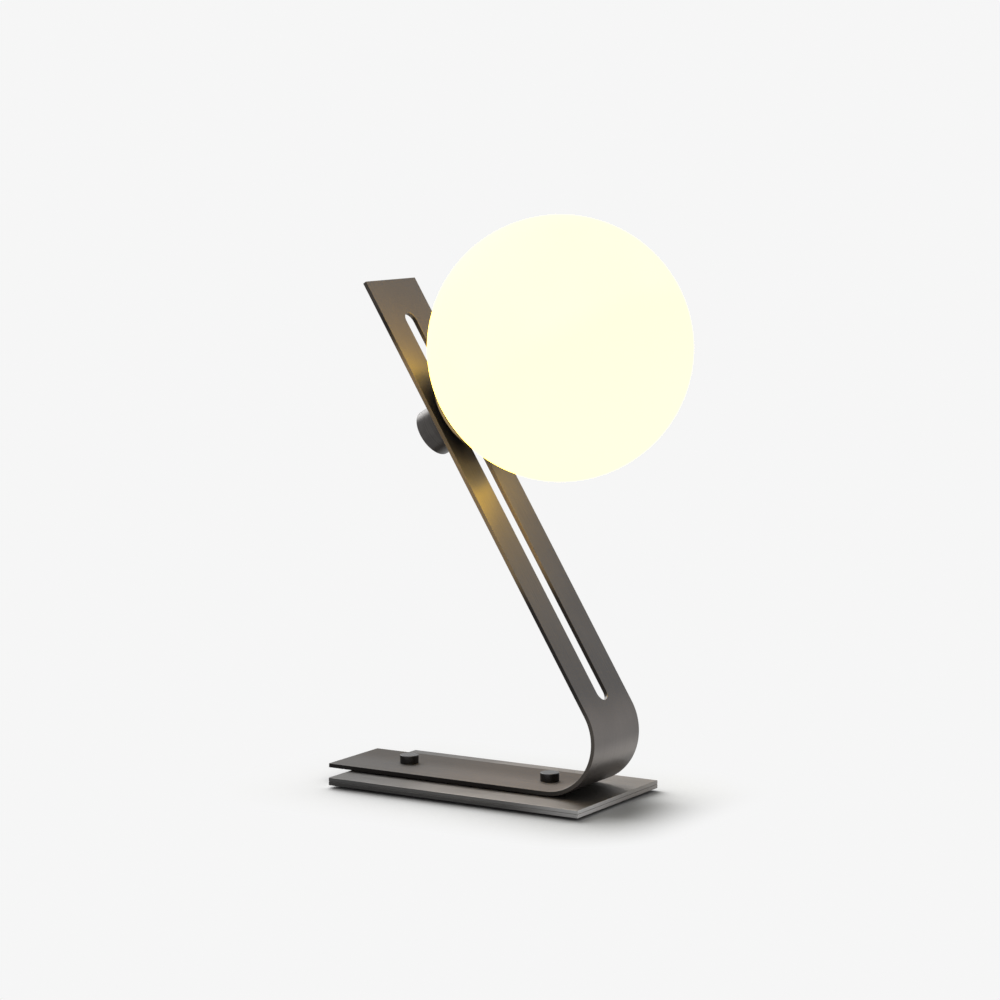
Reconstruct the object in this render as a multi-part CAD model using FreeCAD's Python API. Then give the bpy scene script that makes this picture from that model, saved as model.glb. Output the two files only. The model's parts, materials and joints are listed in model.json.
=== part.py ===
import FreeCAD, Part

import math
import os

os.makedirs("parts", exist_ok=True)
V = FreeCAD.Vector

# Table lamp: a lit opal glass globe clamped on a slotted steel strip, which is bent back over
# a flat base. Millimetres. The origin is the centre of the base's resting face: +X runs along
# the base towards the bend, +Y to the back, +Z up.

# ---- driving dimensions ----
# base
base_length = 167.0
base_width = 93.0
upper_plate = 2.3            # thickness
lower_plate = 2.3
plate_edge_break = 0.25      # small chamfer round both plates
pad_thickness = 1.6
pad_inset = 9.0              # pad edge to plate edge
pad_corner = 5.0
base_screw_shank = 3.0       # diameter
base_screw_head = 6.0
base_screw_head_height = 1.5
base_screw_socket = 2.0      # hexagon across flats
base_screw_inset_x = 36.0    # from the plate's ends
base_screw_inset_y = 14.0    # from the plate's long sides
base_screw_blind = 0.6       # steel left above the screw in the upper plate

# bent strip
strip_width = 51.6
strip_thickness = 2.5
strip_edge_break = 0.25
leg_overhang = 14.0          # the leg's free end past the base's end
bend_radius = 32.0           # outside of the bend
bend_inset = 33.0            # bend centre to the base's end
lean_angle = 58.3            # above the horizontal
lean_length = 280.0          # straight part above the bend
slot_start = 5.5             # bend to the slot's lower end
slot_end_margin = 22.3       # slot's upper end to the strip's end
spacer_thickness = 0.7       # washer between strip and base
spacer_diameter = 12.0

# thumb screws that hold the strip on the base
thumb_head = 11.0            # diameter
thumb_head_height = 5.0
thumb_edge = 0.5
thumb_shank = 5.0
thumb_from_end = 25.8        # first screw to the base's left end
thumb_spacing = 96.0

# globe and its holder, measured along the clamp axis from the strip's front face
globe_diameter = 150.0
globe_wall = 2.5
globe_gap = 3.2              # globe to strip
globe_opening = 54.0         # outer diameter of the glass at its opening
collar_wall = 2.4            # in-turned neck of the globe
collar_length = 13.0
gasket_thickness = 1.5
cup_play = 0.5               # cup wall to the glass neck, radially
cup_wall = 1.5
cup_wall_height = 12.0
cup_floor = 2.0
cup_boss = 30.0              # diameter of the face that meets the front washer
cup_flange = 1.5
clamp_at = 189.7             # clamp axis up the lean from the bend

# clamp
nipple_diameter = 10.0
nipple_bore = 8.0
front_washer = 30.0
front_washer_thickness = 1.0
rear_washer = 26.0
rear_washer_thickness = 0.8
knob_washer_diameter = 24.0
knob_washer_thickness = 0.6
knob_diameter = 28.2
knob_length = 17.9
knob_rim = 0.9               # rounding of the knob's outer end
insert_diameter = 15.0
insert_length = 10.0
bush_flange = 12.0
bush_flange_thickness = 2.5
bush_shank_length = 7.0
cord_hole = 6.5
lock_nut_flats = 14.0
lock_nut_height = 3.5

# lampholder and bulb
holder_diameter = 26.0
holder_cap_height = 13.5
holder_body_height = 25.0
holder_neck = 20.0           # diameter at the foot of the holder's cap
holder_floor = 3.0           # floor under the screw shell
contact_width = 3.0
contact_reach = 5.6
contact_sheet = 0.5
nipple_in_holder = 7.5
shell_bore = 14.2            # screw shell of the lampholder
shell_wall = 0.5
shell_length = 19.0
bulb_cap_diameter = 13.8
bulb_cap_length = 17.0
bulb_base_length = 4.0       # from the cap to the bulb's tip
bulb_tip_width = 4.6
bulb_tip_height = 1.6
bulb_diameter = 45.0
bulb_length = 51.0           # above the holder's mouth
bulb_wall = 1.0

# clearances
slot_play = 0.2              # each side, nipple in the slot
screw_play = 0.2             # radial, screw shank in its hole
thread_play = 0.05           # radial, between two parts that screw together
washer_play = 0.15           # radial, washer on the nipple
knob_bush_play = 0.4         # radial, cord bush in the knob's end hole
contact_play = 0.1           # bulb tip over the centre contact
knob_seat_play = 0.01        # knob to its washer

# ---- places worked out from them ----
pad_top = pad_thickness
lower_top = pad_top + lower_plate
base_top = lower_top + upper_plate
leg_bottom = base_top + spacer_thickness
leg_top = leg_bottom + strip_thickness
leg_left = -base_length / 2 - leg_overhang
bend_x = base_length / 2 - bend_inset
bend_z = leg_bottom + bend_radius
inner_radius = bend_radius - strip_thickness
lean = math.radians(lean_angle)
up_lean = V(-math.cos(lean), 0, math.sin(lean))
off_strip = V(math.sin(lean), 0, math.cos(lean))
bend_centre = V(bend_x, 0, bend_z)
slot_width = nipple_diameter + 2 * slot_play
slot_stop = lean_length - slot_end_margin
thumb_x = [-base_length / 2 + thumb_from_end + step * thumb_spacing for step in (0, 1)]

globe_radius = globe_diameter / 2
globe_centre = globe_gap + globe_radius
opening_radius = globe_opening / 2
rim_height = globe_centre - math.sqrt(globe_radius**2 - opening_radius**2)
neck_radius = opening_radius - collar_wall
flange_top = rim_height - gasket_thickness
cup_radius = neck_radius - cup_play
cup_bottom = front_washer_thickness
floor_top = cup_bottom + cup_floor
nut_top = floor_top + lock_nut_height
holder_split = nut_top + holder_cap_height
holder_mouth = holder_split + holder_body_height
nipple_radius = nipple_diameter / 2
knob_washer_front = -strip_thickness - rear_washer_thickness
knob_front = knob_washer_front - knob_washer_thickness - knob_seat_play
knob_end = knob_front - knob_length
bush_outer = knob_end + 1.2
nipple_end = bush_outer + bush_flange_thickness
bulb_tip = holder_mouth - bulb_cap_length - bulb_base_length


def turned(start, *steps):
    """Solid turned about +Z from an outline in (radius, height). A step is the next corner,
    or a pair: a point on an arc and the arc's end."""
    edges = []
    here = V(start[0], 0, start[1])
    for step in (*steps, start):
        if isinstance(step[0], tuple):
            middle, end = (V(radius, 0, height) for radius, height in step)
            edges.append(Part.Arc(here, middle, end).toShape())
        else:
            end = V(step[0], 0, step[1])
            edges.append(Part.LineSegment(here, end).toShape())
        here = end
    return Part.Face(Part.Wire(edges)).revolve(V(0, 0, 0), V(0, 0, 1), 360)


def ring(inner, outer, bottom, top):
    return turned((inner, bottom), (outer, bottom), (outer, top), (inner, top))


def rod(radius, bottom, top, x=0.0, y=0.0):
    return Part.makeCylinder(radius, top - bottom, V(x, y, bottom))


def hexagon(flats, bottom, top):
    corner = flats / math.sqrt(3)
    points = [V(corner, 0, bottom)]
    for side in range(1, 7):
        turn = math.radians(60 * side)
        points.append(V(corner * math.cos(turn), corner * math.sin(turn), bottom))
    return Part.Face(Part.makePolygon(points)).extrude(V(0, 0, top - bottom))


def slab(length, width, bottom, top):
    return Part.makeBox(length, width, top - bottom, V(-length / 2, -width / 2, bottom))


def at_clamp(shape):
    """Moves a part made on the clamp axis, height 0 on the strip's front face, to the lamp."""
    place = bend_centre + off_strip * bend_radius + up_lean * clamp_at
    shape.Placement = FreeCAD.Placement(place, FreeCAD.Rotation(V(0, 1, 0), lean_angle))
    return shape


# ---- base ----
def base_pad():
    pad = slab(base_length - 2 * pad_inset, base_width - 2 * pad_inset, 0, pad_top)
    upright = [e for e in pad.Edges if abs(e.tangentAt(e.FirstParameter).z) > 0.9]
    return pad.makeFillet(pad_corner, upright)


def screw_places():
    reach_x = base_length / 2 - base_screw_inset_x
    reach_y = base_width / 2 - base_screw_inset_y
    return [(side * reach_x, face * reach_y) for side in (-1, 1) for face in (-1, 1)]


def countersunk(head_radius, shank_radius, top):
    """Countersunk screw, head flush with the underside of the lower plate."""
    shoulder = pad_top + base_screw_head_height
    return turned(
        (0, pad_top), (head_radius, pad_top), (shank_radius, shoulder), (shank_radius, top), (0, top)
    )


def base_plate(bottom, top, tapped_to):
    plate = slab(base_length, base_width, bottom, top)
    plate = plate.makeChamfer(plate_edge_break, plate.Edges)
    for x in thumb_x:
        plate = plate.cut(rod(thumb_shank / 2 + thread_play, bottom - 1, top + 1, x))
    bore = countersunk(
        base_screw_head / 2 + thread_play, base_screw_shank / 2 + thread_play, tapped_to
    )
    for x, y in screw_places():
        plate = plate.cut(bore.translated(V(x, y, 0)))
    return plate


def base_screws():
    top = base_top - base_screw_blind - thread_play
    screw = countersunk(base_screw_head / 2, base_screw_shank / 2, top)
    screw = screw.cut(hexagon(base_screw_socket, pad_top - 1, pad_top + 1))
    return Part.makeCompound([screw.translated(V(x, y, 0)) for x, y in screw_places()])


# ---- strip ----
def bend_point(radius, degrees):
    turn = math.radians(degrees)
    return bend_centre + V(radius * math.cos(turn), 0, radius * math.sin(turn))


def strip_outline():
    """The strip's edge view: leg, bend and lean, drawn in the plane of its front side."""
    tangent = 90 - lean_angle
    halfway = (tangent - 90) / 2
    top = up_lean * lean_length
    front_foot = bend_point(bend_radius, tangent)
    back_foot = bend_point(inner_radius, tangent)
    bend_bottom = bend_point(bend_radius, -90)
    bend_top = bend_point(inner_radius, -90)
    leg_end = [V(leg_left, 0, leg_top), V(leg_left, 0, leg_bottom)]
    edges = [
        Part.LineSegment(leg_end[1], bend_bottom),
        Part.Arc(bend_bottom, bend_point(bend_radius, halfway), front_foot),
        Part.LineSegment(front_foot, front_foot + top),
        Part.LineSegment(front_foot + top, back_foot + top),
        Part.LineSegment(back_foot + top, back_foot),
        Part.Arc(back_foot, bend_point(inner_radius, halfway), bend_top),
        Part.LineSegment(bend_top, leg_end[0]),
        Part.LineSegment(leg_end[0], leg_end[1]),
    ]
    return Part.Face(Part.Wire([edge.toShape() for edge in edges]))


def slot_cutter():
    """The slot, made on the clamp axis: its long way is local X, which points down the lean."""
    low = clamp_at - slot_start - slot_width / 2
    high = clamp_at - slot_stop + slot_width / 2
    deep = 3 * strip_thickness
    body = Part.makeBox(low - high, slot_width, deep, V(high, -slot_width / 2, -deep / 2))
    for end in (low, high):
        body = body.fuse(rod(slot_width / 2, -deep / 2, deep / 2, end))
    return at_clamp(body.removeSplitter())


def bent_strip():
    face = strip_outline()
    face.translate(V(0, -strip_width / 2, 0))
    strip = face.extrude(V(0, strip_width, 0))
    strip = strip.makeChamfer(strip_edge_break, strip.Edges)
    strip = strip.cut(slot_cutter())
    for x in thumb_x:
        hole = rod(thumb_shank / 2 + screw_play, leg_bottom - 1, leg_top + 1, x)
        strip = strip.cut(hole)
    return strip


def leg_spacers():
    bore = thumb_shank / 2 + screw_play
    spacer = ring(bore, spacer_diameter / 2, base_top, leg_bottom)
    return Part.makeCompound([spacer.translated(V(x, 0, 0)) for x in thumb_x])


def thumb_screw(x):
    head = thumb_head / 2
    shank = thumb_shank / 2
    top = leg_top + thumb_head_height
    screw = turned(
        (0, pad_top + 0.3), (shank - 0.4, pad_top + 0.3), (shank, pad_top + 0.7), (shank, leg_top),
        (head - thumb_edge / 2, leg_top), (head, leg_top + thumb_edge / 2),
        (head, top - thumb_edge), (head - thumb_edge, top), (0, top),
    )
    return screw.translated(V(x, 0, 0))


# ---- clamp, on the clamp axis ----
def washer(diameter, bottom, top):
    edge = 0.15
    outer = diameter / 2
    inner = nipple_radius + washer_play
    return turned(
        (inner, bottom), (outer - edge, bottom), (outer, bottom + edge),
        (outer, top - edge), (outer - edge, top), (inner, top),
    )


def hollow_nipple():
    return ring(nipple_bore / 2, nipple_radius, nipple_end, nut_top + nipple_in_holder)


def clamp_knob():
    outer = knob_diameter / 2
    bore = insert_diameter / 2 + thread_play
    seat = knob_front - insert_length - 1
    end_hole = bush_flange / 2 + knob_bush_play
    corner = knob_rim * (1 - math.sqrt(0.5))
    return turned(
        (bore, knob_front), (outer - 0.3, knob_front), (outer, knob_front - 0.3),
        (outer, knob_end + knob_rim),
        ((outer - corner, knob_end + corner), (outer - knob_rim, knob_end)),
        (end_hole + 0.4, knob_end), (end_hole, knob_end + 0.4), (end_hole, seat), (bore, seat),
    )


def knob_insert():
    bore = nipple_radius + thread_play
    outer = insert_diameter / 2
    back = knob_front - insert_length - 1
    front = knob_front - 0.2
    groove = (front + back) / 2
    return turned(
        (bore + 0.5, front), (outer, front), (outer, groove + 1), (outer - 0.6, groove + 0.6),
        (outer - 0.6, groove - 0.6), (outer, groove - 1), (outer, back), (bore + 0.5, back),
        (bore, back + 0.5), (bore, front - 0.5),
    )


def cord_bush():
    bore = cord_hole / 2
    flange = bush_flange / 2
    shank = nipple_bore / 2 - thread_play
    lip = 1.0
    return turned(
        (bore, nipple_end + bush_shank_length), (bore, bush_outer + lip),
        ((bore + 0.3 * lip, bush_outer + 0.3 * lip), (bore + lip, bush_outer)),
        (flange - lip, bush_outer),
        ((flange - 0.3 * lip, bush_outer + 0.3 * lip), (flange, bush_outer + lip)),
        (flange, nipple_end), (shank, nipple_end), (shank, nipple_end + bush_shank_length),
    )


# ---- holder and globe, on the clamp axis ----
def holder_cup():
    """Turned dish that hides inside the globe's opening: boss, dished flange and cup wall."""
    bore = nipple_radius + thread_play
    flange = opening_radius + 0.2
    inner = cup_radius - cup_wall
    wall_top = flange_top + cup_wall_height
    floor_edge = cup_boss / 2
    return turned(
        (bore, cup_bottom), (floor_edge, cup_bottom),
        ((0.55 * flange + 0.45 * floor_edge, cup_bottom + 0.36 * (flange_top - cup_bottom)),
         (flange, flange_top - cup_flange)),
        (flange, flange_top), (cup_radius, flange_top),
        (cup_radius, wall_top - 0.5), (cup_radius - 0.5, wall_top), (inner, wall_top),
        (inner, flange_top), (inner - 4, floor_top), (bore, floor_top),
    )


def lock_nut():
    nut = hexagon(lock_nut_flats, floor_top, nut_top)
    corner = lock_nut_flats / math.sqrt(3)
    limit = lock_nut_flats / 2
    bevel = (corner - limit) * 0.58
    shaper = turned(
        (0, floor_top), (limit, floor_top), (corner, floor_top + bevel),
        (corner, nut_top - bevel), (limit, nut_top), (0, nut_top),
    )
    return nut.common(shaper).cut(rod(nipple_radius + thread_play, floor_top - 1, nut_top + 1))


def globe_gasket():
    inner = cup_radius + cup_play / 2
    outer = opening_radius
    top = rim_height
    soft = 0.3
    return turned(
        (inner, flange_top), (outer - soft, flange_top), (outer, flange_top + soft),
        (outer, top - soft), (outer - soft, top), (inner, top),
    )


def globe_glass():
    """Blown globe with an in-turned neck, opening towards the strip."""
    inner_radius_glass = globe_radius - globe_wall
    slant = math.sqrt(0.5)
    inner_start = globe_centre - math.sqrt(inner_radius_glass**2 - opening_radius**2)
    collar_top = rim_height + collar_length
    return turned(
        (neck_radius, rim_height), (opening_radius, rim_height),
        ((globe_radius * slant, globe_centre - globe_radius * slant),
         (globe_radius, globe_centre)),
        ((globe_radius * slant, globe_centre + globe_radius * slant),
         (0, globe_centre + globe_radius)),
        (0, globe_centre + inner_radius_glass),
        ((inner_radius_glass * slant, globe_centre + inner_radius_glass * slant),
         (inner_radius_glass, globe_centre)),
        ((inner_radius_glass * slant, globe_centre - inner_radius_glass * slant),
         (opening_radius, inner_start)),
        (opening_radius, collar_top), (neck_radius, collar_top),
    )


# ---- lampholder and bulb, on the clamp axis ----
def lampholder_cap():
    bore = nipple_radius + thread_play
    outer = holder_diameter / 2
    foot = holder_neck / 2
    inside = nut_top + nipple_in_holder
    return turned(
        (bore, nut_top), (foot, nut_top),
        ((foot + 0.75 * (outer - foot), nut_top + 0.3 * holder_cap_height),
         (outer, nut_top + 0.75 * holder_cap_height)),
        (outer, holder_split), (outer - 2, holder_split), (outer - 2, inside + 1.5),
        (bore + 1, inside + 1.5), (bore, inside + 0.5),
    )


def lampholder_body():
    outer = holder_diameter / 2
    bore = shell_bore / 2 + shell_wall + thread_play
    floor = holder_split + holder_floor
    body = turned(
        (0, holder_split), (outer - 2.2, holder_split), (outer - 2.2, holder_split + 0.2),
        (outer, holder_split + 0.2), (outer, holder_mouth - 2), (outer - 2, holder_mouth),
        (bore + 1.5, holder_mouth), (bore + 1.5, holder_mouth - 1.5),
        (bore, holder_mouth - 1.5), (bore, floor), (0, floor),
    )
    grip = rod(1.4, holder_split + 4, holder_mouth - 4, outer + 0.7)
    for notch in range(12):
        body = body.cut(grip.rotated(V(0, 0, 0), V(0, 0, 1), 30 * notch))
    return body


def lampholder_shell():
    inner = shell_bore / 2
    outer = inner + shell_wall
    top = holder_mouth - 2
    bottom = top - shell_length
    return turned(
        (inner - 2.5, bottom), (outer, bottom), (outer, top), (inner, top),
        (inner, bottom + shell_wall), (inner - 2.5, bottom + shell_wall),
    )


def lampholder_contact():
    """Centre contact: a brass leaf on a foot, bent back up to the bulb's tip."""
    floor = holder_split + holder_floor
    width = contact_width
    left = -width / 2 - 0.2
    reach = contact_reach
    foot = Part.makeBox(reach, width, contact_sheet, V(left, -width / 2, floor))
    leaf_top = bulb_tip - contact_play
    leaf = Part.makeBox(reach, width, contact_sheet, V(left, -width / 2, leaf_top - contact_sheet))
    riser_left = left + reach - contact_sheet
    riser = Part.makeBox(contact_sheet, width, leaf_top - floor, V(riser_left, -width / 2, floor))
    return foot.fuse([leaf, riser]).removeSplitter()


def bulb_contact():
    wide = bulb_tip_width / 2
    back = bulb_tip + bulb_tip_height
    crown = (0.7 * wide, bulb_tip + 0.25 * bulb_tip_height)
    return turned((0, bulb_tip), (crown, (wide, bulb_tip + 0.75 * bulb_tip_height)), (wide, back), (0, back))


def bulb_insulator():
    foot = bulb_tip + bulb_tip_height
    top = holder_mouth - bulb_cap_length
    narrow = bulb_tip_width / 2 + 0.5
    return turned((0, foot), (narrow, foot), (bulb_cap_diameter / 2 - 0.8, top), (0, top))


def bulb_cap():
    """Thin threaded cap, with its rolled thread as rounded rings."""
    crest = bulb_cap_diameter / 2
    root = crest - 0.5
    foot = holder_mouth - bulb_cap_length
    pitch = 2.8
    low = foot + 0.4
    steps = [(crest - 0.8, foot), (root, low)]
    for turn in range(5):
        steps.append(((crest, low + pitch / 2), (root, low + pitch)))
        low += pitch
    steps += [(root, holder_mouth), (0, holder_mouth)]
    return turned((0, foot), *steps)


def bulb_envelope():
    """Globe bulb: a neck that flares into a ball, hollow."""
    outer = bulb_diameter / 2
    top = holder_mouth + bulb_length
    centre = top - outer
    neck = 9.0
    shoulder = holder_mouth + 4
    join = math.radians(-52)
    meet = (outer * math.cos(join), centre + outer * math.sin(join))
    inner = outer - bulb_wall
    inner_meet = (inner * math.cos(join), centre + inner * math.sin(join))
    flare = (neck + 0.3 * (meet[0] - neck), shoulder + 0.62 * (meet[1] - shoulder))
    inner_flare = (flare[0] - bulb_wall, flare[1] + 0.3)
    return turned(
        (neck - bulb_wall, holder_mouth + 0.1), (neck, holder_mouth + 0.1), (neck, shoulder),
        (flare, meet), ((outer, centre), (0, top)), (0, top - bulb_wall),
        ((inner, centre), inner_meet), (inner_flare, (neck - bulb_wall, shoulder + 0.3)),
    )


def led_disc():
    """Light board inside the bulb, on a stem."""
    board = holder_mouth + 16
    return turned(
        (0, holder_mouth), (5, holder_mouth), (5, board - 4), (11, board - 1.5), (11, board),
        (0, board),
    )


# ---- every piece, by the name of its node ----
pieces = {
    "base_pad": base_pad(),
    "base_plate_lower": base_plate(pad_top, lower_top, base_top - base_screw_blind),
    "base_plate_upper": base_plate(lower_top, base_top, base_top - base_screw_blind),
    "base_screws": base_screws(),
    "leg_spacers": leg_spacers(),
    "bent_strip": bent_strip(),
    "thumb_screw_left": thumb_screw(thumb_x[0]),
    "thumb_screw_right": thumb_screw(thumb_x[1]),
    "front_friction_washer": at_clamp(washer(front_washer, 0, front_washer_thickness)),
    "rear_friction_washer": at_clamp(washer(rear_washer, knob_washer_front, -strip_thickness)),
    "hollow_nipple": at_clamp(hollow_nipple()),
    "holder_cup": at_clamp(holder_cup()),
    "holder_lock_nut": at_clamp(lock_nut()),
    "lampholder_cap": at_clamp(lampholder_cap()),
    "lampholder_body": at_clamp(lampholder_body()),
    "lampholder_shell": at_clamp(lampholder_shell()),
    "lampholder_contact": at_clamp(lampholder_contact()),
    "bulb_contact": at_clamp(bulb_contact()),
    "bulb_insulator": at_clamp(bulb_insulator()),
    "bulb_cap": at_clamp(bulb_cap()),
    "bulb_envelope": at_clamp(bulb_envelope()),
    "bulb_led_disc": at_clamp(led_disc()),
    "cord_bush": at_clamp(cord_bush()),
    "globe_gasket": at_clamp(globe_gasket()),
    "globe_glass": at_clamp(globe_glass()),
    "knob_washer": at_clamp(
        washer(knob_washer_diameter, knob_front + knob_seat_play, knob_washer_front)
    ),
    "clamp_knob": at_clamp(clamp_knob()),
    "knob_insert": at_clamp(knob_insert()),
}

for node, shape in pieces.items():
    shape.exportStep(f"parts/{node}.step")
    box = shape.BoundBox
    print(f"{node:24s} solids {len(shape.Solids)} valid {shape.isValid()} volume {shape.Volume:10.1f}"
          f" x {box.XMin:7.1f} {box.XMax:7.1f} z {box.ZMin:7.1f} {box.ZMax:7.1f}")
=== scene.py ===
import json
import math

import bmesh
import bpy
from mathutils import Matrix, Vector


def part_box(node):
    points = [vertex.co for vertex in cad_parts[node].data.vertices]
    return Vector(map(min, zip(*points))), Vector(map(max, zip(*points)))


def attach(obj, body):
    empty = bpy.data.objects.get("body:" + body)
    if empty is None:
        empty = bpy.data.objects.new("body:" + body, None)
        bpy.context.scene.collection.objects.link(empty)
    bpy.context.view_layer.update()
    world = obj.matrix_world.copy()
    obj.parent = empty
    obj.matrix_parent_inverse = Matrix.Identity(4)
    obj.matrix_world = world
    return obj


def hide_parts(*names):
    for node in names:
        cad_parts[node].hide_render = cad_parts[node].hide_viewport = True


# Lit opal globe on a bent, slotted strip of dark brushed steel. Places come from the packed
# frame, in metres. The outlines of single pieces are in millimetres.
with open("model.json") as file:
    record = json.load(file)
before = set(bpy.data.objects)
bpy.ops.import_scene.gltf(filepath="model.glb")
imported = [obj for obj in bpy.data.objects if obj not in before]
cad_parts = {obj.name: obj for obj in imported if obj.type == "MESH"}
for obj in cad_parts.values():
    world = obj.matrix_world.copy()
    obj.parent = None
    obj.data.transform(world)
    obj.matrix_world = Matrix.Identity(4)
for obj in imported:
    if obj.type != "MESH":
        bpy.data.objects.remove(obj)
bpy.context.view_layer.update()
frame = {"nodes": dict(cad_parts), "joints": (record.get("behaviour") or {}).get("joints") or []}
mm = 0.001

joints = {joint["name"]: joint for joint in frame["joints"]}
off_strip = Vector(joints["head_swivel"]["axis"])
up_lean = Vector(joints["head_slide"]["axis"])
clamp_point = Vector(joints["head_swivel"]["pos_m"])
across = Vector((0, 1, 0))

base_low, base_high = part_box("base_plate_upper")
foot_low, foot_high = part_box("base_plate_lower")
strip_low, strip_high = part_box("bent_strip")
globe_low, globe_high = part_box("globe_glass")
globe_radius = (globe_high.y - globe_low.y) / 2
globe_centre = (globe_low + globe_high) / 2

# ---- sizes that the frame's boxes don't give, in millimetres ----
strip_thickness = 2.5
bend_radius = 32.0           # outside
lean_length = 280.0
clamp_at = 189.7             # clamp axis up the lean from the bend
slot_width = 10.4
slot_start = 5.5
slot_end_margin = 22.3
thumb_hole = 2.7             # radius in the strip
plate_hole = 2.55            # radius in the base plates
edge_break = 0.28            # radius on the edges of the strip and base plates
edge_steps = 3


# ---------------------------------------------------------------- shader maths
class Wire:
    """A socket in a finish's node tree. Sums on it add Math nodes."""

    def __init__(self, finish, socket):
        self.finish, self.socket = finish, socket

    def math(self, operation, first, second=None):
        values = {"Value": first} if second is None else {"Value": first, "Value_001": second}
        return self.finish.node("ShaderNodeMath", {"operation": operation}, values)

    def __add__(self, other):
        return self.math("ADD", self, other)

    def __radd__(self, other):
        return self.math("ADD", other, self)

    def __sub__(self, other):
        return self.math("SUBTRACT", self, other)

    def __rsub__(self, other):
        return self.math("SUBTRACT", other, self)

    def __mul__(self, other):
        return self.math("MULTIPLY", self, other)

    def __rmul__(self, other):
        return self.math("MULTIPLY", other, self)

    def __abs__(self):
        return self.math("ABSOLUTE", self)

    def biggest(self, other):
        return self.math("MAXIMUM", self, other)


class Finish:
    """A material, or the world, built from nodes."""

    def __init__(self, owner):
        owner.use_nodes = True
        self.owner, self.tree = owner, owner.node_tree
        self.tree.nodes.clear()

    @staticmethod
    def socket(sockets, key):
        for match in (lambda s: s.identifier == key, lambda s: s.name == key):
            found = [s for s in sockets if match(s)]
            if found:
                return found[0]
        raise KeyError(key)

    def node(self, kind, settings=None, values=None, out=None):
        """Adds a node: settings first, then its sockets' values or links. Gives one output."""
        node = self.tree.nodes.new(kind)
        for name, value in (settings or {}).items():
            setattr(node, name, value)
        for name, value in (values or {}).items():
            socket = self.socket(node.inputs, name)
            if isinstance(value, Wire):
                self.tree.links.new(value.socket, socket)
            elif socket.type == "RGBA" and len(value) == 3:
                socket.default_value = (*value, 1)
            else:
                socket.default_value = value
        outputs = [s for s in node.outputs if s.enabled]
        return Wire(self, self.socket(outputs, out) if out else outputs[0]) if outputs else None

    # places on the piece
    def place(self):
        return self.node("ShaderNodeTexCoord", out="Object")

    def split(self, vector):
        parts = self.node("ShaderNodeSeparateXYZ", values={"Vector": vector})
        node = parts.socket.node
        return [Wire(self, node.outputs[axis]) for axis in "XYZ"]

    def joined(self, x, y, z):
        return self.node("ShaderNodeCombineXYZ", values={"X": x, "Y": y, "Z": z})

    def scaled(self, vector, by):
        return self.vector("MULTIPLY", vector, by)

    def vector(self, operation, *vectors, scale=None, out=None):
        values = dict(zip(("Vector", "Vector_001"), vectors))
        if scale is not None:
            values["Scale"] = scale
        return self.node("ShaderNodeVectorMath", {"operation": operation}, values, out)

    def on_clamp_axis(self, place):
        """Height along the clamp axis, distance from it, and the way out from it."""
        reach = self.vector("SUBTRACT", place, clamp_point)
        height = self.vector("DOT_PRODUCT", reach, off_strip, out="Value")
        away = self.vector("SUBTRACT", reach, self.vector("SCALE", off_strip, scale=height))
        return height, self.vector("LENGTH", away, out="Value"), away

    def tipped(self, tip):
        """The surface's normal, tipped by a small vector."""
        normal = self.node("ShaderNodeNewGeometry", out="Normal")
        return self.vector("NORMALIZE", self.vector("ADD", normal, tip))

    # patterns, each about 0 to 1
    def noise(self, vector, scale=1.0, detail=2.0, roughness=0.5):
        return self.node(
            "ShaderNodeTexNoise",
            values={"Vector": vector, "Scale": scale, "Detail": detail, "Roughness": roughness},
            out="Fac",
        )

    def step(self, value, low, high, at_low=0.0, at_high=1.0):
        """A smooth step between low and high."""
        return self.node(
            "ShaderNodeMapRange",
            {"interpolation_type": "SMOOTHSTEP"},
            {"Value": value, "From Min": low, "From Max": high, "To Min": at_low,
             "To Max": at_high},
        )

    def blend(self, factor, first, second):
        return self.node(
            "ShaderNodeMix",
            {"data_type": "RGBA"},
            {"Factor_Float": factor, "A_Color": first, "B_Color": second},
            out="Result_Color",
        )

    def bump(self, height, strength, distance):
        values = {"Height": height, "Strength": strength, "Distance": distance}
        return self.node("ShaderNodeBump", values=values)

    def surface(self, **values):
        """The Principled shader on the output. Names are its sockets', with _ for a space."""
        values = {name.replace("_", " "): value for name, value in values.items()}
        shader = self.node("ShaderNodeBsdfPrincipled", values=values)
        self.node("ShaderNodeOutputMaterial", values={"Surface": shader})
        return self.owner


def finish(name):
    return Finish(bpy.data.materials.new(name))


# ---------------------------------------------------------------- finishes
def brushing(f, place):
    """Lines brushed along the steel, fine and broad, and its surface tipped to and fro across."""
    lines = f.noise(f.scaled(place, (45, 5200, 45)), detail=3, roughness=0.6)
    broad_lines = f.noise(f.scaled(place, (9, 520, 9)), detail=3)
    tip = f.joined(0.0, (lines - 0.5) * brush_tip, 0.0)
    return lines, broad_lines, f.tipped(tip)


def facing(f):
    """How far the surface faces along X and Y, 0 to 1."""
    x, y, z = f.split(f.node("ShaderNodeNewGeometry", out="True Normal"))
    return f.step(abs(x), 0.75, 0.95), f.step(abs(y), 0.75, 0.95)


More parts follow.
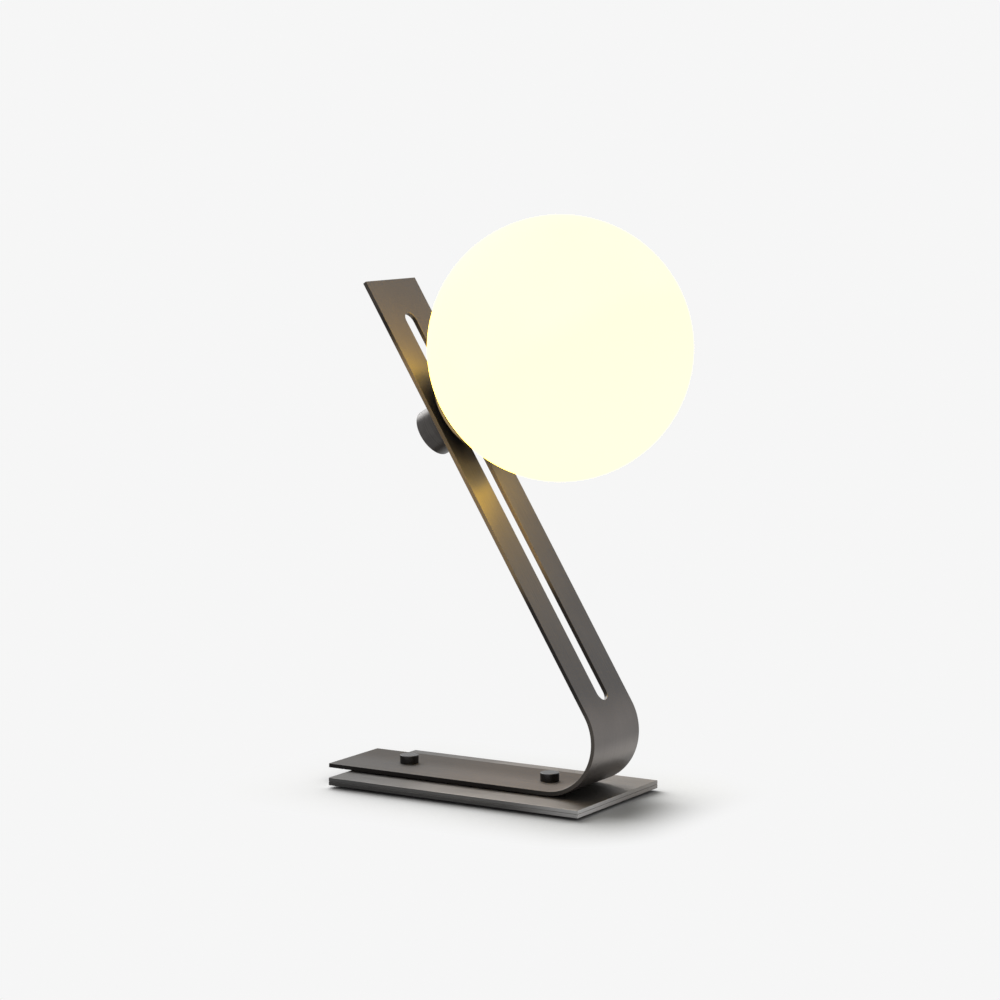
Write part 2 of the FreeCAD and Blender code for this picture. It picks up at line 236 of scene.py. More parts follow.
def strip_steel():
    """Dark satin steel under clear lacquer, brushed along the strip, lighter round the bend:
    painted light, as are the warm and light tones below.
    """
    f = finish("strip_steel")
    place = f.place()
    x, y, z = f.split(place)
    lines, broad_lines, normal = brushing(f, place)
    patches = f.noise(f.scaled(place, (20, 32, 20)), detail=2)
    colour = f.blend(f.step(patches, 0.3, 0.7), (0.056, 0.054, 0.057), (0.069, 0.067, 0.070))
    # lighter round the bend: painted light
    bend = f.step(x, 0.054, 0.074) * f.step(z, 0.070, 0.045)
    colour = f.blend(bend * f.step(patches, 0.2, 0.6, 0.6, 1.0), colour, (0.150, 0.134, 0.124))
    # a lighter band low on the outside of the bend: a painted highlight
    painted_bend_highlight = f.step(x, 0.054, 0.074) * f.step(z, 0.0230, 0.0290) * f.step(z, 0.0400, 0.0290)
    colour = f.blend(painted_bend_highlight, colour, (0.28, 0.252, 0.234))
    # warmer near the top of the strip, beside the globe: painted reflection of the globe's glow
    colour = f.blend(f.step(z, 0.235, 0.275) * 0.5, colour, (0.105, 0.088, 0.073))
    on_leg = f.step(z, 0.014, 0.0096)
    # on the leg: lighter and warmer towards the bend, darker at its back: painted light and shade
    leg = f.blend(f.step(x, -0.07, 0.01), leg_left_tone, leg_right_tone)
    leg = f.blend(f.step(y, -0.012, 0.014) * 0.6, leg, (0.075, 0.068, 0.062))
    colour = f.blend(on_leg, colour, leg)
    streaks = (lines - 0.5) * 0.5 + (broad_lines - 0.5) * 0.4 + 0.2
    colour = f.blend(streaks, colour, (0.11, 0.102, 0.097))
    faces_side = facing(f)[1]
    # the span of the edges' painted reflection of the globe's glow
    painted_glow_span = f.step(z, 0.112, 0.138) * f.step(z, 0.270, 0.245)
    # the cut edges: darker along the leg, lighter by the bend, round it and at the top: painted
    # light
    edge = f.blend(f.step(z, 0.012, 0.020), (0.030, 0.028, 0.027), (0.038, 0.036, 0.034))
    edge = f.blend(f.step(x, 0.01, 0.06) * f.step(z, 0.030, 0.018), edge, (0.065, 0.062, 0.058))
    edge = f.blend(bend, edge, (0.092, 0.083, 0.075))
    edge = f.blend(f.step(z, 0.270, 0.285), edge, (0.085, 0.078, 0.072))
    # the edges warm and light along the lean, a little less at the clamp: painted reflection of the
    # globe's glow
    by_clamp = f.step(abs(z - clamp_point.z), 0.024, 0.008, 0.0, 0.35)
    painted_edge_glow = (1 - by_clamp) * painted_glow_span * f.step(patches, 0.2, 0.6, 0.65, 1.0)
    edge = f.blend(painted_edge_glow, edge, (0.27, 0.21, 0.135))
    colour = f.blend(faces_side, colour, edge)
    roughness = (broad_lines - 0.5) * 0.08 + faces_side * 0.2 + strip_rough - bend * 0.13
    return f.surface(
        Base_Color=colour, Metallic=1.0, Roughness=roughness, Specular_Tint=(0.40, 0.40, 0.40, 1),
        Normal=normal, Coat_Weight=(1 - faces_side) * (1 - on_leg) * lacquer, Coat_Roughness=0.31,
    )


def base_steel():
    """The same steel on the base plates, with sawn edges that are brighter towards the bend:
    painted light, as are the top's and ends' lighter parts.
    """
    f = finish("base_steel")
    place = f.place()
    x, y, z = f.split(place)
    lines, broad_lines, normal = brushing(f, place)
    patches = f.noise(f.scaled(place, (16, 26, 16)), detail=2)
    # the top lighter and warmer towards the right end: painted light
    colour = f.blend(f.step(x, -0.08, 0.02), base_left_tone, base_right_tone)
    # darker at the back right, under the bend: painted shade
    back_right = f.step(x, 0.05, 0.08) * f.step(y, -0.02, 0.03) * 0.6
    colour = f.blend(back_right, colour, (0.180, 0.165, 0.151))
    colour = f.blend(f.step(patches, 0.3, 0.7) * 0.25, colour, (0.085, 0.080, 0.077))
    streaks = (lines - 0.5) * 0.5 + (broad_lines - 0.5) * 0.5 + 0.2
    colour = f.blend(streaks, colour, (0.19, 0.182, 0.174))
    faces_end, faces_side = facing(f)
    saw = f.noise(f.scaled(place, (700, 700, 5200)), detail=3)
    # the sides: darker at the left, lighter towards the right end, lightest at its front: painted
    # light; the lower plate's side is darker, most at the left
    side = f.blend(f.step(x, -0.08, 0.03), (0.085, 0.084, 0.083), (0.125, 0.122, 0.119))
    side = f.blend(f.step(x, 0.03, 0.095), side, (0.46, 0.455, 0.45))
    lower = f.blend(0.56 - f.step(x, 0.02, 0.07) * 0.46, side, (0.035, 0.035, 0.035))
    side = f.blend(f.step(z, 0.0036, 0.0041), lower, side)
    colour = f.blend(faces_side, colour, f.blend(saw * 0.25, side, (0.05, 0.049, 0.048)))
    # the end faces lighter at the front: painted light
    end = f.blend(f.step(y, -0.045, 0.02), (0.80, 0.79, 0.78), (0.36, 0.34, 0.32))
    colour = f.blend(faces_end, colour, f.blend(saw * 0.4, end, (0.16, 0.158, 0.155)))
    roughness = (broad_lines - 0.5) * 0.1 + faces_side.biggest(faces_end) * 0.16 + base_rough
    return f.surface(
        Base_Color=colour, Metallic=1.0, Roughness=roughness, Specular_Tint=(0.37, 0.37, 0.37, 1),
        Normal=normal, Coat_Weight=f.step(x, -0.06, 0.02) * 0.12, Coat_Roughness=0.3,
    )


def turned_steel(name, dark, light, rough, ring_scale=2600, tip=0.5):
    """Metal turned on a lathe: fine rings round the clamp axis."""
    f = finish(name)
    place = f.place()
    height, radius, away = f.on_clamp_axis(place)
    rings = f.noise(f.joined(radius, 0.0, height), scale=ring_scale, detail=3, roughness=0.6)
    smudge = f.noise(place, scale=90, detail=2)
    colour = f.blend(f.step(rings * 0.5 + smudge * 0.5, 0.35, 0.65), dark, light)
    out = f.vector("NORMALIZE", away)
    tips = f.vector("SCALE", f.vector("ADD", out, off_strip), scale=(rings - 0.5) * tip)
    to_world = f.node(
        "ShaderNodeVectorTransform",
        {"vector_type": "VECTOR", "convert_from": "OBJECT", "convert_to": "WORLD"},
        {"Vector": tips},
    )
    return f.surface(
        Base_Color=colour, Metallic=1.0, Roughness=(smudge - 0.5) * 0.1 + rough,
        Normal=f.tipped(to_world),
    )


def plastic(name, dark, light, rough, grain=900, bump=0.12, sheen=0.0):
    """Plastic, rubber or fibre: fine grain and faint clouding."""
    f = finish(name)
    place = f.place()
    fine = f.noise(place, scale=grain, detail=3)
    clouds = f.noise(place, scale=70, detail=2)
    colour = f.blend(f.step(clouds, 0.3, 0.7), dark, light)
    return f.surface(
        Base_Color=colour, Roughness=(fine - 0.5) * 0.2 + (clouds - 0.5) * 0.1 + rough,
        Normal=f.bump(fine, bump, 0.0001), Sheen_Weight=sheen,
    )


def blackened_steel():
    """Black satin plating on the thumb screws."""
    f = finish("screw_black")
    place = f.place()
    fine = f.noise(place, scale=1500, detail=3)
    clouds = f.noise(place, scale=160, detail=2)
    return f.surface(
        Base_Color=f.blend(clouds, (0.052, 0.050, 0.051), (0.072, 0.070, 0.071)), Metallic=1.0,
        Roughness=(fine - 0.5) * 0.12 + 0.2, Specular_Tint=(0.75, 0.75, 0.75, 1),
        Normal=f.bump(fine, 0.05, 0.0001),
    )


def opal_globe():
    """Lit opal glass: an even warm glow, dim round the neck, where the cup keeps light off it."""
    f = finish("globe_opal")
    place = f.place()
    height, radius, away = f.on_clamp_axis(place)
    ripple = f.noise(place, scale=11, detail=2)
    lower_side = f.step(f.vector("DOT_PRODUCT", away, up_lean, out="Value"), 0.004, -0.016)
    glow = f.blend(f.step(ripple, 0.25, 0.75), globe_glow, globe_glow_light)
    glow = f.blend(lower_side, glow, globe_glow_below)
    weak = f.step(height, 0.0174, 0.0148) * lower_side
    glow = f.blend(weak, glow, (0.17, 0.140, 0.096))
    past_neck = f.step(height - lower_side * 0.0014, 0.0098, 0.0134)
    glow = f.blend(past_neck, (0.088, 0.057, 0.026), glow)
    return f.surface(
        # the yellow base colour stands in for the warm glow on white opal glass: painted light
        Base_Color=f.blend(ripple, (0.42, 0.40, 0.07), (0.46, 0.44, 0.09)),
        Roughness=(ripple - 0.5) * 0.08 + 0.5, Specular_IOR_Level=0.0,
        Emission_Color=glow, Emission_Strength=globe_strength, Normal=f.bump(ripple, 0.02, 0.001),
    )


def opal_bulb():
    """Frosted glass of the bulb, lit, and dimmer at its neck."""
    f = finish("bulb_glass")
    place = f.place()
    height, radius, away = f.on_clamp_axis(place)
    frost = f.noise(place, scale=500, detail=3)
    clouds = f.noise(place, scale=40, detail=1)
    glow = f.blend(clouds, (1.0, 0.74, 0.44), (1.0, 0.78, 0.50))
    glow = f.blend(f.step(height, 0.066, 0.047), glow, (0.62, 0.36, 0.16))
    return f.surface(
        Base_Color=f.blend(clouds, (0.80, 0.79, 0.74), (0.84, 0.83, 0.79)),
        Roughness=(frost - 0.5) * 0.1 + 0.3,
        Emission_Color=glow, Emission_Strength=1.6, Normal=f.bump(frost, 0.05, 0.0001),
    )


brush_tip = 0.8              # how far the brushing tips the steel's surface across
strip_rough = 0.62
lacquer = 0.7
base_rough = 0.42
# the leg's top, lighter and warmer to the right, towards the bend: painted light
leg_left_tone, leg_right_tone = (0.120, 0.118, 0.116), (0.155, 0.140, 0.128)
# the base's top, lighter and warmer to the right: painted light
base_left_tone, base_right_tone = (0.150, 0.149, 0.148), (0.240, 0.221, 0.204)
globe_strength = 7.0
globe_glow, globe_glow_light = (0.84, 0.504, 0.103), (0.84, 0.512, 0.107)
globe_glow_below = (1.0, 0.60, 0.102)

finishes = {
    "strip_steel": strip_steel(),
    "base_steel": base_steel(),
    "knob_metal": turned_steel("knob_metal", (0.052, 0.048, 0.046), (0.082, 0.077, 0.073), 0.36),
    "screw_black": blackened_steel(),
    "plain_steel": turned_steel("plain_steel", (0.34, 0.34, 0.335), (0.50, 0.49, 0.48), 0.28),
    # bronze stands in for the globe's warm glow on the dish: painted light
    "cup_metal": turned_steel("cup_metal", (0.30, 0.215, 0.10), (0.39, 0.285, 0.14), 0.45),
    "pad_rubber": plastic(
        "pad_rubber", (0.012, 0.012, 0.012), (0.022, 0.022, 0.021), 0.78, grain=1300, bump=0.5,
    ),
    # warm brown matches the dim glow beside the globe's neck: painted light and shade
    "gasket_silicone": plastic(
        "gasket_silicone", (0.16, 0.12, 0.065), (0.21, 0.16, 0.085), 0.6, grain=800, bump=0.1,
    ),
    "washer_fibre": plastic(
        "washer_fibre", (0.030, 0.028, 0.026), (0.048, 0.044, 0.040), 0.72, grain=1800, bump=0.4,
        sheen=0.1,
    ),
    "bush_nylon": plastic("bush_nylon", (0.014, 0.014, 0.015), (0.022, 0.022, 0.023), 0.42),
    "holder_plastic": plastic("holder_plastic", (0.018, 0.018, 0.019), (0.030, 0.029, 0.029), 0.36),
    "contact_brass": turned_steel("contact_brass", (0.62, 0.42, 0.17), (0.76, 0.54, 0.24), 0.26),
    "cap_nickel": turned_steel("cap_nickel", (0.52, 0.51, 0.49), (0.66, 0.65, 0.62), 0.2, 900),
    "cap_insulator": plastic("cap_insulator", (0.010, 0.009, 0.012), (0.02, 0.018, 0.022), 0.16),
    "led_board": plastic("led_board", (0.72, 0.72, 0.70), (0.8, 0.8, 0.78), 0.5),
    "bulb_glass": opal_bulb(),
    "globe_opal": opal_globe(),
}


# ---------------------------------------------------------------- mesh makers
def built(name, mesh, place, slot, body, *nodes):
    """Shades a mesh smooth, puts it in place, and hands it to its body in the nodes' stead."""
    mesh.transform(place)
    mesh.update()
    piece = bpy.data.objects.new(name, mesh)
    bpy.context.scene.collection.objects.link(piece)
    for polygon in mesh.polygons:
        polygon.use_smooth = True
    mesh.materials.append(finishes[slot])
    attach(piece, body)
    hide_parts(*nodes)
    return piece


def even_shading(piece):
    weighted = piece.modifiers.new("even_shading", "WEIGHTED_NORMAL")
    weighted.weight, weighted.keep_sharp = 60, True


def rounded_edges(piece):
    bevel = piece.modifiers.new("edge_break", "BEVEL")
    bevel.width, bevel.segments = edge_break * mm, edge_steps
    bevel.limit_method, bevel.angle_limit = "ANGLE", math.radians(38)
    bevel.harden_normals = True


def softened(outline, radius, steps=3):
    """A closed outline with each sharp corner off the axis rounded."""
    soft = []
    for index, corner in enumerate(outline):
        here = Vector(corner)
        before = Vector(outline[index - 1]) - here
        after = Vector(outline[(index + 1) % len(outline)]) - here
        turn = math.pi - before.angle(after)
        if here.x < 1e-6 or turn < math.radians(25):
            soft.append(here)
            continue
        reach = min(radius, 0.4 * before.length, 0.4 * after.length)
        start, end = here + before.normalized() * reach, here + after.normalized() * reach
        for step in range(steps + 1):
            share = step / steps
            soft.append(
                start * (1 - share) ** 2 + here * (2 * share * (1 - share)) + end * share**2
            )
    return [tuple(point) for point in soft]


def arc(centre, radius, start, end, steps):
    """Points on an arc, in degrees, both ends included."""
    turns = [math.radians(start + (end - start) * step / steps) for step in range(steps + 1)]
    return [(centre[0] + radius * math.cos(t), centre[1] + radius * math.sin(t)) for t in turns]


def turned(outline, around=96, reach=None):
    """A closed outline of (radius, height), in millimetres, turned about the height axis.
    reach(turn, radius, height) may move a point in or out."""
    shape = bmesh.new()
    rings = []
    for step in range(around):
        turn = 2 * math.pi * step / around
        ring = []
        for radius, height in outline:
            r = reach(turn, radius, height) if reach else radius
            point = (r * mm * math.cos(turn), r * mm * math.sin(turn), height * mm)
            ring.append(shape.verts.new(point))
        rings.append(ring)
    count = len(outline)
    for step in range(around):
        near, far = rings[step], rings[(step + 1) % around]
        for index in range(count):
            after = (index + 1) % count
            if outline[index][0] < 1e-6 and outline[after][0] < 1e-6:
                continue
            shape.faces.new((near[index], far[index], far[after], near[after]))
    bmesh.ops.remove_doubles(shape, verts=shape.verts, dist=1e-8)
    bmesh.ops.dissolve_degenerate(shape, edges=shape.edges, dist=1e-8)
    bmesh.ops.recalc_face_normals(shape, faces=shape.faces)
    mesh = bpy.data.meshes.new("turned")
    shape.to_mesh(mesh)
    shape.free()
    return mesh


def sheet(halves, place):
    """A sheet of metal from flat faces, given as points (along, across), that share their edges.
    place(along, across, depth) gives a point of the finished sheet; depth is 0 or 1."""
    shape = bmesh.new()
    sides = [{}, {}]
    used = {}
    for face in halves:
        keys = [(round(a, 5), round(b, 5)) for a, b in face]
        for key in keys:
            for depth, points in enumerate(sides):
                if key not in points:
                    points[key] = shape.verts.new(place(*key, depth))
        shape.faces.new([sides[0][key] for key in keys])
        shape.faces.new([sides[1][key] for key in reversed(keys)])
        for pair in zip(keys, keys[1:] + keys[:1]):
            used.setdefault(frozenset(pair), []).append(pair)
    for pairs in used.values():
        if len(pairs) == 1:
            a, b = pairs[0]
            shape.faces.new((sides[0][b], sides[0][a], sides[1][a], sides[1][b]))
    bmesh.ops.recalc_face_normals(shape, faces=shape.faces)
    mesh = bpy.data.meshes.new("sheet")
    shape.to_mesh(mesh)
    shape.free()
    return mesh


def half_with_holes(start, end, half_width, holes, side, steps=14):
    """Half of a sheet, cut along its centre line, with round-ended holes (from, to, radius)."""
    face = [(start, 0.0)]
    for low, high, radius in holes:
        face += [(a, side * b) for a, b in arc((low + radius, 0), radius, 180, 90, steps)]
        face += [(a, side * b) for a, b in arc((high - radius, 0), radius, 90, 0, steps)]
    face += [(end, 0.0), (end, side * half_width), (start, side * half_width)]
    clean = [p for p, q in zip(face, face[1:] + face[:1]) if math.dist(p, q) > 1e-4]
    return clean if side > 0 else clean[::-1]


# ---------------------------------------------------------------- stand
here = Matrix.Identity(4)
strip_half = (strip_high.y - strip_low.y) / 2 / mm
leg_left, leg_bottom = strip_low.x / mm, strip_low.z / mm
foot_of_lean = clamp_point / mm - up_lean * clamp_at
bend_centre = foot_of_lean - off_strip * bend_radius
bend_angle = 180 - math.degrees(math.atan2(up_lean.z, -up_lean.x))
leg_length = bend_centre.x - leg_left
bend_length = math.radians(bend_angle) * bend_radius
thumb_places = [
    sum(corner.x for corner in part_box(f"thumb_screw_{side}")) / 2 / mm
    for side in ("left", "right")
]


def on_strip(along, across_strip, depth):
    """A point of the strip: along from the leg's free end, over the bend and up the lean."""
    inward = depth * strip_thickness
    if along <= leg_length:
        point = Vector((leg_left + along, 0, leg_bottom + inward))
    elif along <= leg_length + bend_length:
        turn = math.radians(-90) + (along - leg_length) / bend_radius
        arm = bend_radius - inward
        point = bend_centre + Vector((math.cos(turn), 0, math.sin(turn))) * arm
    else:
        point = foot_of_lean - off_strip * inward + up_lean * (along - leg_length - bend_length)
    return (point + across * across_strip) * mm


def bent_strip():
    bend_steps = 56
    lean_start = leg_length + bend_length
    lean_end = lean_start + lean_length
    holes = [
        (x - leg_left - thumb_hole, x - leg_left + thumb_hole, thumb_hole) for x in thumb_places
    ]
    slot = (lean_start + slot_start, lean_end - slot_end_margin, slot_width / 2)
    faces = []
    for side in (1, -1):
        faces.append(half_with_holes(0, leg_length, strip_half, holes, side))
        faces.append(half_with_holes(lean_start, lean_end, strip_half, [slot], side))
        for step in range(bend_steps):
            low, high = (leg_length + bend_length * (step + more) / bend_steps for more in (0, 1))
            quad = [(low, 0), (high, 0), (high, side * strip_half), (low, side * strip_half)]
            faces.append(quad if side > 0 else quad[::-1])
    piece = built("strip", sheet(faces, on_strip), here, "strip_steel", "stand", "bent_strip")
    rounded_edges(piece)


def base_plate(node, low, high):
    holes = [(x - plate_hole, x + plate_hole, plate_hole) for x in thumb_places]
    half_width = high.y / mm
    faces = [half_with_holes(low.x / mm, high.x / mm, half_width, holes, side) for side in (1, -1)]
    heights = (high.z, low.z)
    mesh = sheet(faces, lambda along, y, depth: (along * mm, y * mm, heights[depth]))
    rounded_edges(built(node + "_finished", mesh, here, "base_steel", "stand", node))


def thumb_screw(side, x):
    low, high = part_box(f"thumb_screw_{side}")
    leg_top = leg_bottom + strip_thickness
    head, shank, chamfer = 5.5, 2.5, 0.4
    tip, top = low.z / mm, high.z / mm
    outline = softened([
        (0, tip), (shank - chamfer, tip), (shank, tip + chamfer), (shank, leg_top),
        (head, leg_top), (head, top), (0, top),
    ], 0.45, 5)
    piece = built(
        f"thumb_screw_{side}_finished", turned(outline, 72), Matrix.Translation((x * mm, 0, 0)),
        "screw_black", "stand", f"thumb_screw_{side}",
    )
    even_shading(piece)


# ---------------------------------------------------------------- clamp, cup and globe
clamp_axes = Matrix((-up_lean, across, off_strip)).transposed().to_4x4()
clamp_place = Matrix.Translation(clamp_point) @ clamp_axes


def height_of(point):
    """Height of a point along the clamp axis, from the strip's front face, in millimetres."""
    return (point - clamp_point).dot(off_strip) / mm


def on_clamp(name, outline, slot, body, node, around=96, reach=None):
    piece = built(name, turned(outline, around, reach), clamp_place, slot, body, node)
    even_shading(piece)
    return piece


globe_height = height_of(globe_centre)
globe_wall, collar_wall, collar_length, opening = 2.5, 2.4, 13.0, 27.0
globe_r = globe_radius / mm
rim = globe_height - math.sqrt(globe_r**2 - opening**2)
gasket, flange_thickness, cup_wall_height = 1.5, 1.5, 12.0
flange_top = rim - gasket
nut_top = 6.5
holder_split, holder_mouth = 20.0, 45.0


def globe():
    inside = globe_r - globe_wall
    outer_foot = -math.degrees(math.acos(opening / globe_r))
    inner_foot = -math.degrees(math.acos(opening / inside))
    collar_inside, collar_top, edge = opening - collar_wall, rim + collar_length, 0.5
    outline = [(collar_inside, rim + edge), (collar_inside + 0.6, rim)]
    outline += arc((0, globe_height), globe_r, outer_foot, 90, 96)
    outline += arc((0, globe_height), inside, 90, inner_foot, 80)
    outline += [
        (opening, collar_top - edge), (opening - edge, collar_top),
        (collar_inside + edge, collar_top), (collar_inside, collar_top - edge),
    ]
    return on_clamp("lit_globe", outline, "globe_opal", "globe", "globe_glass", 144)


def knob():
    back, front = -21.81, -3.91
    outer, bore, end_hole, bore_depth = 14.1, 7.55, 6.4, 11
    shoulder = front - bore_depth
    outline = softened([
        (bore, front), (outer, front), (outer, back), (end_hole, back), (end_hole, shoulder),
        (bore, shoulder),
    ], 0.8, 6)
    on_clamp("turned_knob", outline, "knob_metal", "knob", "clamp_knob", 128)


def cup():
    bore, boss, floor_top = 5.05, 15.0, 3.0
    flange = opening + 0.2
    cup_radius = opening - collar_wall - 0.5
    wall_top, inner = flange_top + cup_wall_height, opening - collar_wall - 2.0
    low, high = 1.0, flange_top - flange_thickness
    dish, dish_steps = [], 12
    for step in range(dish_steps + 1):
        share = step / dish_steps
        rise = share**1.6
        dish.append((boss + (flange - boss) * share, low + (high - low) * rise))
    outline = softened([
        (bore, low), *dish, (flange, flange_top), (cup_radius, flange_top),
        (cup_radius, wall_top), (inner, wall_top), (inner, flange_top), (inner - 4, floor_top),
        (bore, floor_top),
    ], 0.4)
    on_clamp("holder_dish", outline, "cup_metal", "head", "holder_cup", 128)


def holder_body():
    outer, bore = 13.0, 7.65
    low, top = holder_split, holder_mouth
    floor_top = low + 3
    flute_low, flute_high, flute_rows = low + 3, top - 3, 12
    flutes, flute_depth, run_out = 12, 0.6, 1.5
    flute_length = flute_high - flute_low
    outline = softened([
        (0, low), (outer - 2.2, low), (outer - 2.2, low + 0.2), (outer, low + 0.2),
        (outer, flute_low),
        *[(outer, flute_low + flute_length * row / flute_rows) for row in range(1, flute_rows)],
        (outer, top - 2),
        (outer - 2, top), (bore + 1.5, top), (bore + 1.5, top - 1.5), (bore, top - 1.5),
        (bore, floor_top), (0, floor_top),
    ], 0.35)

    def grips(turn, radius, height):
        """Twelve flutes round the skirt, run out at both ends."""
        if radius < outer - 0.05:
            return radius
        ends = 1
        for inside in (height - flute_low, flute_high - height):
            ends *= min(1, max(0, inside / run_out))
        return radius - flute_depth * ends * max(0, math.cos(flutes * turn)) ** 3

    on_clamp("holder_skirt", outline, "holder_plastic", "head", "lampholder_body", 192, grips)


def rolled_thread(pitch, depth, low, high):
    """A reach() for turned(): a thread wound round the outer wall between two heights."""
    def wind(turn, radius, height):
        if not low < height < high:
            return radius
        ends = min(1, (height - low) / pitch * 2, (high - height) / pitch * 2)
        wave = 0.5 + 0.5 * math.cos(2 * math.pi * height / pitch - turn)
        return radius - depth * ends * (1 - wave)
    return wind


def bulb_cap():
    top, length, crest = holder_mouth, 17.0, 6.9
    pitch, depth = 2.8, 0.5
    low = top - length
    rows = 90
    wall = [(crest, low + 0.5 + (length - 0.5) * step / rows) for step in range(rows + 1)]
    outline = [(0, low), (crest - 0.8, low), (crest - 0.45, low + 0.1), *wall, (0, top)]
    on_clamp("bulb_screw_cap", outline, "cap_nickel", "bulb", "bulb_cap", 96,
             rolled_thread(pitch, depth, low + 0.6, top - 1.2))


def nipple():
    low, top = -18.11, nut_top + 7.5
    crest, mouth, bore, chamfer = 5.0, 4.6, 4.0, 0.3
    pitch, depth, row_height = 1.0, 0.45, 0.125
    rows = int((top - low) / row_height)
    span = top - low - 2 * chamfer
    wall = [(crest, low + chamfer + span * step / rows) for step in range(rows + 1)]
    outline = [(bore, low), (mouth, low), *wall, (mouth, top), (bore, top)]
    thread = rolled_thread(pitch, depth, low + chamfer, top - chamfer)

    def outside_only(turn, radius, height):
        return thread(turn, radius, height) if radius > mouth else radius

    on_clamp("threaded_nipple", outline, "plain_steel", "head", "hollow_nipple", 64, outside_only)


def bulb():
    outer, length, wall, neck = 22.5, 51.0, 1.0, 9.0
    foot = holder_mouth + 0.1
    top = holder_mouth + length
    centre = top - outer
    join = -52
    meet = arc((0, centre), outer, join, join, 1)[0]

    def flare(start, end, steps=14):
        """From a straight neck into the ball, level with both."""
        handle_low = (start[0], start[1] + 0.45 * (end[1] - start[1]))
        slope = math.radians(90 + join)
        reach = 0.5 * (end[1] - start[1])
        handle_high = (end[0] - reach * math.cos(slope), end[1] - reach * math.sin(slope))
        points = []
        for step in range(1, steps):
            t = step / steps
            weights = ((1 - t) ** 3, 3 * t * (1 - t) ** 2, 3 * t * t * (1 - t), t**3)
            corners = (start, handle_low, handle_high, end)
            points.append(tuple(
                sum(w * c[axis] for w, c in zip(weights, corners)) for axis in (0, 1)
            ))
        return points

    inner_meet = arc((0, centre), outer - wall, join, join, 1)[0]
    outline = [(neck - wall, foot), (neck - 0.2, foot), (neck, foot + 0.2), (neck, foot + 4)]
    outline += flare((neck, foot + 4), meet)
    outline += arc((0, centre), outer, join, 90, 48)
    outline += arc((0, centre), outer - wall, 90, join, 40)
    outline += flare((neck - wall, foot + 4), inner_meet)[::-1]
    outline += [(neck - wall, foot + 4)]
    on_clamp("opal_bulb", outline, "bulb_glass", "bulb", "bulb_envelope", 112)


bent_strip()
base_plate("base_plate_lower", foot_low, foot_high)
base_plate("base_plate_upper", base_low, base_high)
for side, x in zip(("left", "right"), thumb_places):
    thumb_screw(side, x)
lit_globe = globe()
knob()
cup()
holder_body()
bulb_cap()
nipple()
bulb()

# the CAD pieces that stay as they are, by finish
kept_nodes = {
    "pad_rubber": ["base_pad"],
    "plain_steel": ["base_screws", "holder_lock_nut", "knob_washer"],
    "washer_fibre": ["leg_spacers", "front_friction_washer", "rear_friction_washer"],
    "gasket_silicone": ["globe_gasket"],
    "bush_nylon": ["cord_bush"],
    "holder_plastic": ["lampholder_cap"],
    "contact_brass": ["lampholder_shell", "lampholder_contact", "knob_insert"],
    "cap_nickel": ["bulb_contact"],
    "cap_insulator": ["bulb_insulator"],
    "led_board": ["bulb_led_disc"],
}
# and those that a finished piece stands in for
hidden_behind = {
    "base_plate_lower": "base_steel", "base_plate_upper": "base_steel", "bent_strip": "strip_steel",
    "thumb_screw_left": "screw_black", "thumb_screw_right": "screw_black",
    "clamp_knob": "knob_metal", "holder_cup": "cup_metal", "lampholder_body": "holder_plastic",
    "bulb_cap": "cap_nickel", "hollow_nipple": "plain_steel", "bulb_envelope": "bulb_glass",
    "globe_glass": "globe_opal",
}
finish_of = {node: slot for slot, nodes in kept_nodes.items() for node in nodes} | hidden_behind
for node, slot in finish_of.items():
    mesh = frame["nodes"][node].data
    mesh.materials.clear()
    mesh.materials.append(finishes[slot])

# ---------------------------------------------------------------- studio
background = 0.9225          # linear: the pale grey-white of the photograph
shade_reach = (0.012, 0.067)  # the floor's shade fades out between these, round the base
# the low window is no lamp: it only aims the floor's painted shadow
floor_shade = 1.45           # how much darker the floor is where the base hides the low window
least_light = 0.5            # the shade goes no deeper than this
low_window = (-0.78, 0.50, 0.36)  # the way to it from the lamp
shade_distance = 0.12        # what stands further off than this casts no such shade
sky_light = 0.42
camera_place = (0.933669, -1.523969, 0.392237)
camera_lens = 112.956
look_down, look_round = 7.11, 31.36


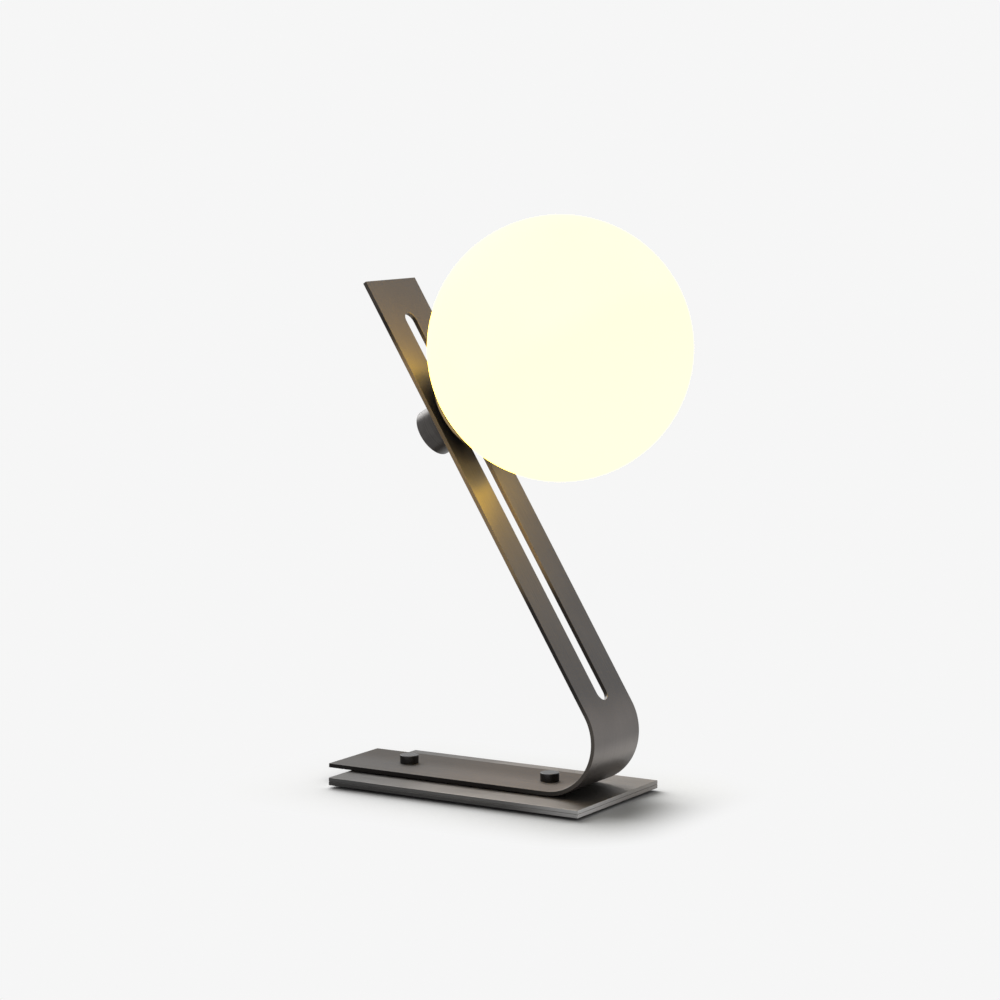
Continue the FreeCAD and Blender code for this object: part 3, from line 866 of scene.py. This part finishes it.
def lay_floor():
    reach, cells = 40.0, 8
    shape = bmesh.new()
    bmesh.ops.create_grid(shape, x_segments=cells, y_segments=cells, size=reach)
    mesh = bpy.data.meshes.new("floor")
    shape.to_mesh(mesh)
    shape.free()
    floor = bpy.data.objects.new("floor", mesh)
    bpy.context.scene.collection.objects.link(floor)
    f = finish("floor_paper")
    place = f.place()
    grain = f.noise(place, scale=60, detail=2)
    # Painted shadow: an AO node looking towards the low window, which no lamp stands for, darkens
    # the floor's colour round the base.
    open_to_it = f.node(
        "ShaderNodeAmbientOcclusion", {"samples": 24},
        {"Distance": shade_distance, "Normal": f.joined(*low_window)}, "AO",
    )
    share = (1 - (1 - open_to_it) * floor_shade).biggest(least_light)
    light = f.blend(share, (0.0, 0.0, 0.0), (1.0, 1.0, 1.0))
    tone = f.scaled(light, f.blend(grain, (0.918,) * 3, (0.922,) * 3))
    paper = f.node("ShaderNodeBsdfDiffuse", values={"Color": tone})
    haze = f.node("ShaderNodeEmission", values={"Color": (1, 1, 1), "Strength": background})
    x, y, z = f.split(place)
    beyond = f.joined((abs(x) - base_high.x).biggest(0.0), (abs(y) - base_high.y).biggest(0.0), 0.0)
    far = f.step(f.vector("LENGTH", beyond, out="Value"), *shade_reach)
    both = f.node("ShaderNodeMixShader", values={"Fac": far, "Shader": paper, "Shader_001": haze})
    f.node("ShaderNodeOutputMaterial", values={"Surface": both})
    mesh.materials.append(f.owner)
    return floor


def keep_glow_off(floor, globe_piece):
    """The photograph's floor shows no pool of light under the globe."""
    lit = bpy.data.collections.new("not_lit_by_the_globe")
    globe_piece.light_linking.receiver_collection = lit
    lit.objects.link(floor)
    lit.collection_objects[0].light_linking.link_state = "EXCLUDE"


def light_world():
    world = bpy.data.worlds.new("studio")
    bpy.context.scene.world = world
    f = Finish(world)
    path = f.node("ShaderNodeLightPath", out="Is Camera Ray")
    rays = path.socket.node.outputs
    for ray in ("Is Glossy Ray", "Is Transmission Ray"):
        path = path.biggest(Wire(f, rays[ray]))
    dim = f.node("ShaderNodeBackground", values={"Color": (1, 1, 1), "Strength": sky_light})
    bright = f.node("ShaderNodeBackground", values={"Color": (1, 1, 1), "Strength": background})
    both = f.node("ShaderNodeMixShader", values={"Fac": path, "Shader": dim, "Shader_001": bright})
    f.node("ShaderNodeOutputWorld", values={"Surface": both})


def sun(name, strength, spread, azimuth, elevation):
    """A very soft, distant light from an azimuth, counted from +X towards +Y."""
    light = bpy.data.lights.new(name, "SUN")
    light.energy, light.angle = strength, math.radians(spread)
    lamp = bpy.data.objects.new(name, light)
    bpy.context.scene.collection.objects.link(lamp)
    a, e = math.radians(azimuth), math.radians(elevation)
    towards = Vector((math.cos(a) * math.cos(e), math.sin(a) * math.cos(e), math.sin(e)))
    lamp.rotation_euler = towards.to_track_quat("Z", "Y").to_euler()
    lamp.location = towards * 3


def stand_camera():
    """The photograph's viewpoint: slightly above the lamp, from its front right."""
    data = bpy.data.cameras.new("camera")
    data.sensor_width, data.lens = 36.0, camera_lens
    data.clip_end = 200
    camera = bpy.data.objects.new("camera", data)
    bpy.context.scene.collection.objects.link(camera)
    camera.location = camera_place
    camera.rotation_euler = (math.radians(90 - look_down), 0, math.radians(look_round))
    bpy.context.scene.camera = camera


keep_glow_off(lay_floor(), lit_globe)
light_world()
sun("window_left", strength=2.74, spread=56, azimuth=150, elevation=42)
stand_camera()
bpy.context.scene.view_settings.view_transform = "Standard"
